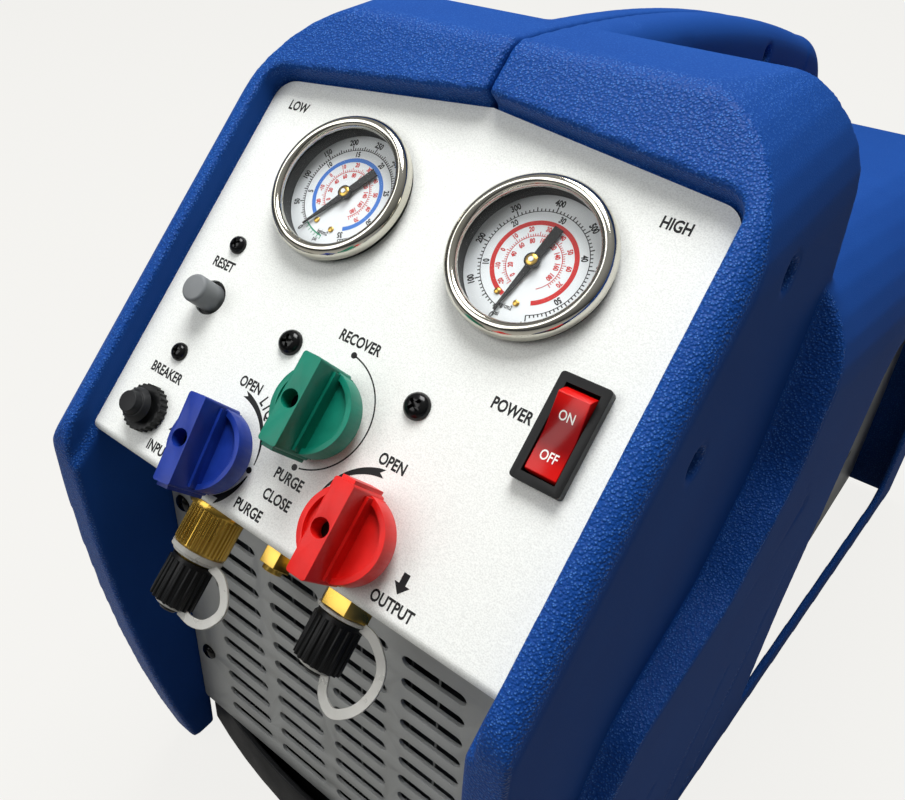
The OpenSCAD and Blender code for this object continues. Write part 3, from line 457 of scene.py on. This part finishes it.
# Pressure gauges: black flanged case, printed dial, black pointer on a brass hub, flat lens,
# and a bezel spun and polished from stainless strip.
def turned(profile, spot, steps=96, closed=False):
    """Mesh of a profile of (radius, height) pairs in millimetres, turned about the z axis of a spot's frame."""
    shape = bmesh.new()
    rings = []
    for r, h in profile:
        around = [math.tau * i / steps for i in range(steps if r > 0 else 1)]
        ring = (Vector((r * math.cos(a), r * math.sin(a), h)) for a in around)
        rings.append([shape.verts.new(spot @ (point * MM)) for point in ring])
    if closed:
        rings.append(rings[0])
    for low, high in zip(rings, rings[1:]):
        for i in range(steps):
            j = (i + 1) % steps
            corners = (low[i % len(low)], low[j % len(low)], high[j % len(high)], high[i % len(high)])
            shape.faces.new(list(dict.fromkeys(corners)))
    bmesh.ops.recalc_face_normals(shape, faces=shape.faces)
    mesh = bpy.data.meshes.new("turned")
    shape.to_mesh(mesh)
    shape.free()
    mesh.shade_smooth()
    mesh.set_sharp_from_angle(angle=math.radians(40))
    return mesh


polished = grained("polished_stainless", ("#C9C5B8", "#D8D5CB"), 0.1, 1.0, size=0.5, depth=0.004)[0]
dial_white = grained("enamelled_dial", ("#DDE3E6", "#E8ECED"), 0.4, size=0.4, depth=0.01)[0]
pointer_black = grained("black_lacquer", ("#0B0B0C", "#131314"), 0.22, size=0.8, depth=0.01)[0]
red_ink = grained("red_dial_ink", ("#B91514", "#C8201D"), 0.5, size=0.3, depth=0.01)[0]
blue_ink = grained("blue_dial_ink", ("#356DC4", "#447CCD"), 0.5, size=0.3, depth=0.01)[0]
green_ink = grained("green_dial_ink", ("#1E8A63", "#2B9A70"), 0.5, size=0.3, depth=0.01)[0]
brass = grained("turned_brass", ("#B8943E", "#D0AC56"), 0.28, 1.0, size=0.4, depth=0.02)[0]
# Lens: clear and thin, so only its reflections and a trace of haze show.
lens_clear, tree, shader = grained("clear_lens", ("#EEF2F2", "#F6F8F8"), 0.03, size=6, depth=0.01)
shader.inputs["Alpha"].default_value = 0.015
GAUGE_U, GAUGE_V = 37.2, 115.3
DIAL_W = -2
DIAL_R = 21.8
SCALE_R = 0.775 * DIAL_R
COLOUR_SWEEP_R = 0.6 * DIAL_R
HEAT_SCALE_R = 0.4 * DIAL_R
PSI_PER_KG = 14.22
LOW_ZERO, HIGH_ZERO = 146, 167
VACUUM_END = 175
FIGURE = 0.04
bezel_profile = (
    (23.95, 1.95), (26.1, 1.95), (26.5, 2.4), (26.5, 4.0), (26.35, 5.1), (25.9, 6.1), (25.2, 6.9), (24.3, 7.4),
    (23.5, 7.45), (22.8, 7.2), (22.2, 6.7), (21.85, 5.9), (21.8, 4.65), (23.95, 4.65),
)


def round_the_dial(spot, share, degrees):
    """Frame at a share of the dial's radius and an angle anticlockwise from up."""
    x, y = round_about(share * DIAL_R, degrees)
    return spot @ Matrix.Translation((x * MM, y * MM, 0))


for side, u, zero, per_unit, top, step, kg_step, kg_top, sweep_ink in (
    ("low", -GAUGE_U, LOW_ZERO, 0.612, 500, 50, 5, 35, blue_ink),
    ("high", GAUGE_U, HIGH_ZERO, 0.409, 800, 100, 10, 50, red_ink),
):
    bezel = turned(bezel_profile, on_panel(u, GAUGE_V), closed=True)
    place(bezel, side + "_bezel_spun", polished, stands_for=(side + "_bezel",))
    dress(side + "_lens", lens_clear)
    dress(side + "_dial", dial_white)
    dress(side + "_needle", pointer_black)
    dress(side + "_case", black_abs)
    spot = on_panel(u, GAUGE_V, DIAL_W + INK_W)
    black_print, sweep_print, red_print = bmesh.new(), bmesh.new(), bmesh.new()
    # Pressure scale in psi with its figures, and the same in kg/cm2 inside it.
    add_arc(black_print, spot, SCALE_R, zero, zero - per_unit * top, 0.25, steps=120)
    for i in range(int(top / (step / 10)) + 1):
        angle = zero - per_unit * i * step / 10
        length = 1.9 if i % 10 == 0 else 1.4 if i % 5 == 0 else 0.9
        add_arc(black_print, spot, SCALE_R + length / 2, angle + 0.6, angle - 0.6, length, steps=1)
    for value in range(0, top + 1, step):
        degrees = zero - per_unit * value
        add_word(black_print, round_the_dial(spot, 0.915, degrees), str(value), 2.1 * MM, degrees, weight=FIGURE)
    for value in range(kg_step, kg_top + 1, kg_step):
        degrees = zero - per_unit * value * PSI_PER_KG
        add_word(black_print, round_the_dial(spot, 0.695, degrees), str(value), 2.0 * MM, degrees, weight=FIGURE)
    for text, x, y in (("kg/cm2", -1.5, -15.6), ("psi", -3.2, -18.6)):
        add_word(black_print, spot @ Matrix.Translation((x * MM, y * MM, 0)), text, 1.5 * MM)
    # Coloured sweep, and the red temperature scale round the hub with figures on both sides.
    add_arc(sweep_print, spot, COLOUR_SWEEP_R, zero - 6, zero - per_unit * top + 4, 1.5, steps=96)
    add_arc(red_print, spot, HEAT_SCALE_R, zero - 12, zero - per_unit * top + 12, 0.22, steps=72)
    for i in range(61):
        angle = zero - 14 - i * 4.6
        length = 1.4 if i % 5 == 0 else 0.8
        add_arc(red_print, spot, HEAT_SCALE_R + length / 2, angle + 0.7, angle - 0.7, length, steps=1)
    for i, value in enumerate(range(-20, 80, 10)):
        degrees = zero - 24 - i * 28
        add_word(red_print, round_the_dial(spot, 0.51, degrees), str(value), 1.6 * MM, degrees, weight=FIGURE)
        add_word(red_print, round_the_dial(spot, 0.33, degrees), str(20 * i), 1.6 * MM, degrees, weight=FIGURE)
    assemble(black_print, side + "_dial_black_print", black_ink)
    assemble(sweep_print, side + "_dial_sweep", sweep_ink)
    assemble(red_print, side + "_dial_red_print", red_ink)
    hub = turned(((0, 2.75), (1.6, 2.75), (1.9, 2.55), (1.9, 2.2)), on_panel(u, GAUGE_V, DIAL_W), 40)
    place(hub, side + "_pointer_hub", brass, side + "_pointer")
    dial_screws = bmesh.new()
    for x, y in ((-6.2, -12.2), (1.2, -13.6)):
        seat = spot @ Matrix.Translation((x * MM, y * MM, 0))
        dial_screws.from_mesh(turned(((0, 0.55), (0.6, 0.55), (1.05, 0.3), (1.05, 0)), seat, 24))
    assemble(dial_screws, side + "_dial_screws", brass)
# The low dial starts with a short green vacuum scale.
vacuum = bmesh.new()
spot = on_panel(-GAUGE_U, GAUGE_V, DIAL_W + INK_W)
add_arc(vacuum, spot, SCALE_R, VACUUM_END, LOW_ZERO, 0.5, steps=12)
for i in range(7):
    angle = VACUUM_END - i * 4.8
    add_arc(vacuum, spot, SCALE_R + 0.7, angle + 0.45, angle - 0.45, 1.4, steps=1)
assemble(vacuum, "low_dial_vacuum_print", green_ink)


# Power switch: snap-in black frame and a red polycarbonate rocker with white words.
# The rocker's ends are painted a brighter red than its middle: a painted glow, standing in for light coming through
# it.
SWITCH_U, SWITCH_V = 70.9, 71.4
ROCKER_SWING = 10
ROCKER_PIVOT_W = -1.2
ROCKER_RISE = 4.5
rocker_red, tree, shader = new_material("red_polycarbonate", 0.14)
pivot = on_panel(SWITCH_U, SWITCH_V, ROCKER_PIVOT_W) @ Matrix.Rotation(math.radians(ROCKER_SWING), 4, "X")
position = add_node(tree, "ShaderNodeTexCoord").outputs["Object"]
along = vector_math(tree, "DOT_PRODUCT", vector_math(tree, "SUBTRACT", position, pivot.translation), up_slope)
# Painted glow: the colour goes from dark red at the pivot to bright red towards the rocker's ends.
painted_glow = smooth_step(tree, math_node(tree, "ABSOLUTE", along), 3 * MM, 10.5 * MM)
tree.links.new(mixed_tone(tree, painted_glow, "#84060A", "#D0120F"), shader.inputs["Base Color"])
white_ink = grained("white_pad_ink", ("#EAE8E3", "#F4F2EE"), 0.5, size=0.3, depth=0.01)[0]
eased("switch_frame", black_abs, 0.9, 4)
eased("switch_rocker", rocker_red, 0.8)
words = bmesh.new()
for text, way, reach in (("ON", 1, 5.6), ("OFF", -1, 6.4)):
    rise = ROCKER_RISE + reach * math.tan(math.radians(ROCKER_SWING)) + 0.06
    lean = Matrix.Rotation(math.radians(way * ROCKER_SWING), 4, "X")
    face = pivot @ Matrix.Translation((0, way * reach * MM, rise * MM)) @ lean
    add_word(words, face, text, 3.0 * MM, weight=0.012)
assemble(words, "rocker_words", white_ink, "rocker")


# Reset button: grey moulded plunger on a bracket behind the panel.
# Circuit breaker: threaded black body with a knurled ring nut and a rubber boot over its plunger.
grey_abs = grained("satin_grey_abs", ("#6E7173", "#7E8183"), 0.45, size=0.5, depth=0.04)[0]
boot_rubber = grained("soft_black_rubber", ("#131416", "#1D1E20"), 0.5, size=0.7, depth=0.05)[0]
dress("reset_body", black_abs)
eased("reset_button", grey_abs, 1.2, 5)
dress("breaker_body", black_abs)
eased("breaker_nut", black_abs, 0.25, 2)
eased("breaker_boot", boot_rubber, 0.8, 4)


# Valves: brass manifold and steel stems behind the panel, with solid-coloured ABS bar knobs before it.
# Each knob is held by a sunk screw.
black_oxide = grained("black_oxide_steel", ("#0A0A0B", "#131314"), 0.16, size=0.5, depth=0.02)[0]
dress("valve_manifold", brass)
for name, tones, slot in (
    ("input", ("#122C82", "#183796"), "blue_knob"),
    ("mode", ("#07705A", "#0A8069"), "green_knob"),
    ("output", ("#CC1410", "#DE1B16"), "red_knob"),
):
    knob_abs = grained(name + "_knob_abs", tones, 0.36, size=0.7, depth=0.05, drift=8)[0]
    eased(name + "_knob", knob_abs, 0.5)
    dress(name + "_stem", drawn_steel)
    dress(name + "_knob_screw", black_oxide)


# Ports: turned brass, the input one with a knurled coupler and a nylon washer; ribbed black caps
# are held to the ports by flat straps of milky PVC, which lets a little light through.
milky_pvc, tree, shader = grained("milky_pvc", ("#CFCEC7", "#E0DFD9"), 0.3, size=0.9, depth=0.03, drift=6)
shader.inputs["Transmission Weight"].default_value = 0.25
for name in ("input_port", "purge_port", "output_port"):
    eased(name, brass, 0.2, 2)
for name in ("input_cap", "output_cap"):
    eased(name, black_abs, 0.3, 2)
dress("input_washer", milky_pvc)
VALVE_U = 29.7
PORT_W = -15
NOSE_R = 6.3
STRAP_WIDTH = 3.2
STRAP_T = 1.2
BUTTON_R = 3.4
BUTTON_NECK = 2.4
input_course = ((8, -0.6), (14, -2), (19, -7), (20, -12), (16.5, -17.5), (11, -19.4), (5, -18.8))
output_course = (
    (8, -0.6), (13.5, -1.8), (19.5, -7), (21, -14), (18.5, -22), (12.5, -27), (7, -24.5), (4.4, -18.8),
)
down = Matrix.Rotation(math.radians(90), 4, "X")
for name, u, root_v, cap_end_v, course in (
    ("input", -VALVE_U, -18.9, -37, input_course),
    ("output", VALVE_U, -6.3, -24, output_course),
):
    root, end = on_panel(u, root_v, PORT_W), on_panel(u, cap_end_v, PORT_W)
    strap = band(course, STRAP_WIDTH, STRAP_T, root)
    for seat, bore, rim, gap in ((root, NOSE_R, 8.4, 0), (end, BUTTON_NECK + 0.2, 5.4, 0.2)):
        bulge = rim + 0.3
        ring = ((bore, 0), (rim, 0), (bulge, 0.3), (bulge, STRAP_T - 0.3), (rim, STRAP_T), (bore, STRAP_T))
        strap.from_mesh(turned([(r, gap + h) for r, h in ring], seat @ down, 48, closed=True))
    loop = assemble(strap, name + "_strap_loop", milky_pvc, stands_for=(name + "_strap",))
    ease_edges(loop, 0.3, 2)
    neck = ((BUTTON_NECK, -0.5), (BUTTON_NECK, 1.6))
    knob = ((BUTTON_R, 1.6), (BUTTON_R, 2.4), (BUTTON_R - 0.6, 3), (0, 3.1))
    button = turned(neck + knob, end @ down, 40)
    place(button, name + "_cap_button", black_abs, name + "_cap_body")


# Screws: domed pan heads with a cross recess, black oxide finish.
# The ones sunk in the shell keep their plain heads.
def pan_head(radius, height, spot, turn):
    """Screw head in millimetres, seated on the spot's plane, its recess turned by some degrees."""
    swell = ((0, 1), (0.4, 0.97), (0.7, 0.83), (0.9, 0.56), (1, 0.22), (1, 0), (0, 0))
    dome = turned([(s * radius, t * height) for s, t in swell], Matrix(), 48)
    arm, reach = 0.13 * radius, 0.52 * radius
    outline = [(arm, arm), (arm, reach), (-arm, reach), (-arm, arm), (-reach, arm), (-reach, -arm)]
    outline += [(-x, -y) for x, y in outline]
    recess = bmesh.new()
    add_outline(recess, Matrix.Translation((0, 0, 0.4 * height * MM)), outline)
    grown = bmesh.ops.extrude_face_region(recess, geom=recess.faces[:])["geom"]
    top = [v for v in grown if isinstance(v, bmesh.types.BMVert)]
    bmesh.ops.translate(recess, verts=top, vec=(0, 0, height * MM))
    bmesh.ops.recalc_face_normals(recess, faces=recess.faces)
    cutter = bpy.data.meshes.new("recess")
    recess.to_mesh(cutter)
    recess.free()
    head, tool = bpy.data.objects.new("head", dome), bpy.data.objects.new("tool", cutter)
    for piece in (head, tool):
        bpy.context.scene.collection.objects.link(piece)
    cut = head.modifiers.new("cut", "BOOLEAN")
    cut.object = tool
    mesh = finished_mesh(head)
    for piece in (head, tool):
        bpy.data.objects.remove(piece)
    mesh.transform(spot @ Matrix.Rotation(math.radians(turn), 4, "Z"))
    return mesh


GRILLE_Y = -179.9
grille_frame = Matrix.Translation((0, GRILLE_Y * MM, 0)) @ Matrix.Rotation(math.radians(90), 4, "X")
grille_seats = [
    (grille_frame @ Matrix.Translation((x * MM, z * MM, 0)), 5 * x)
    for x, z in ((-78, 172), (78, 172), (-76, 76), (76, 76))
]
for group, radius, height, seats in (
    ("panel_screws", 4.5, 3, [(on_panel(-26.5, 60.5), 20), (on_panel(26.5, 60.5), 55)]),
    ("bracket_screws", 3.4, 2.6, [(on_panel(-67.7, 39.6), 10), (on_panel(-67.7, 83.4), 35)]),
    ("grille_screws", 4, 2.2, grille_seats),
):
    heads = bmesh.new()
    for seat, turn in seats:
        heads.from_mesh(pan_head(radius, height, seat, turn))
    assemble(heads, group + "_heads", black_oxide, stands_for=(group,))
for name in ("shell_screws", "handle_screws"):
    dress(name, black_oxide)


# Studio: pale floor that looks near white to the camera yet keeps the shadow, and a room that is bright
# overhead and dim at the sides, with one large soft lamp above and a weak one from the camera's side.
FLOOR = 8.0
FLOOR_SEEN_WHITE = 0.85
FLOOR_MIRRORED_WHITE = 0.2
ROOM_LIGHT = 0.3
floor_mesh = bpy.data.meshes.new("floor")
corners = [(-FLOOR, -FLOOR, 0), (FLOOR, -FLOOR, 0), (FLOOR, FLOOR, 0), (-FLOOR, FLOOR, 0)]
floor_mesh.from_pydata(corners, [], [(0, 1, 2, 3)])
floor = bpy.data.objects.new("floor", floor_mesh)
bpy.context.scene.collection.objects.link(floor)
floor_paint, tree, shader = new_material("floor_paint", 0.9)
shader.inputs["Base Color"].default_value = linear("#9A9893")
ray = add_node(tree, "ShaderNodeLightPath").outputs
mirrored = math_node(tree, "MAXIMUM", ray["Is Glossy Ray"], ray["Is Transmission Ray"])
dimmed = math_node(tree, "MULTIPLY", mirrored, FLOOR_MIRRORED_WHITE)
direct = math_node(tree, "MULTIPLY", ray["Is Camera Ray"], FLOOR_SEEN_WHITE)
share = math_node(tree, "MAXIMUM", direct, dimmed)
white = add_node(tree, "ShaderNodeEmission", {"Color": linear("#FFFEFB"), "Strength": 1.0}).outputs["Emission"]
mixed = add_node(tree, "ShaderNodeMixShader", {0: share, 1: shader.outputs["BSDF"], 2: white})
tree.links.new(mixed.outputs["Shader"], tree.nodes["Material Output"].inputs["Surface"])
floor_mesh.materials.append(floor_paint)

world = bpy.data.worlds.new("room")
bpy.context.scene.world = world
world.use_nodes = True
tree = world.node_tree
aloft = add_node(tree, "ShaderNodeSeparateXYZ", {0: add_node(tree, "ShaderNodeTexCoord").outputs["Generated"]})
rise = add_node(tree, "ShaderNodeMapRange", {"Value": aloft.outputs["Z"], "From Min": 0.0, "From Max": 0.9})
room_tone = mixed_tone(tree, rise.outputs[0], "#45484D", "#FFFFFC")
tree.links.new(room_tone, tree.nodes["Background"].inputs["Color"])
tree.nodes["Background"].inputs["Strength"].default_value = ROOM_LIGHT


def softbox(name, place_at, aim_at, size, power):
    """Square area lamp aimed at a point."""
    lamp = bpy.data.lights.new(name, "AREA")
    lamp.shape = "SQUARE"
    lamp.size = size
    lamp.energy = power
    holder = bpy.data.objects.new(name, lamp)
    holder.location = place_at
    holder.rotation_euler = (Vector(aim_at) - Vector(place_at)).to_track_quat("-Z", "Y").to_euler()
    bpy.context.scene.collection.objects.link(holder)


softbox("overhead", (-0.1, 0.2, 1.75), (0, -0.05, 0.25), 0.8, 31)
softbox("fill", (-0.7, -1.1, 1.2), (0, 0, 0.2), 1.0, 9)

# Camera: right of the controls and above them, with the picture's own off-centre crop.
camera_data = bpy.data.cameras.new("camera")
camera = bpy.data.objects.new("camera", camera_data)
bpy.context.scene.collection.objects.link(camera)
camera_data.sensor_width = 36
camera_data.lens = 36.8
camera_data.shift_x = 0.14
camera_data.shift_y = -0.055
camera_data.clip_start = 0.01
camera.location = (0.1553, -0.3417, 0.4439)
camera.rotation_euler = [math.radians(a) for a in (54.6475, 1.4839, 41.8271)]
bpy.context.scene.camera = camera
bpy.context.scene.view_settings.view_transform = "Standard"
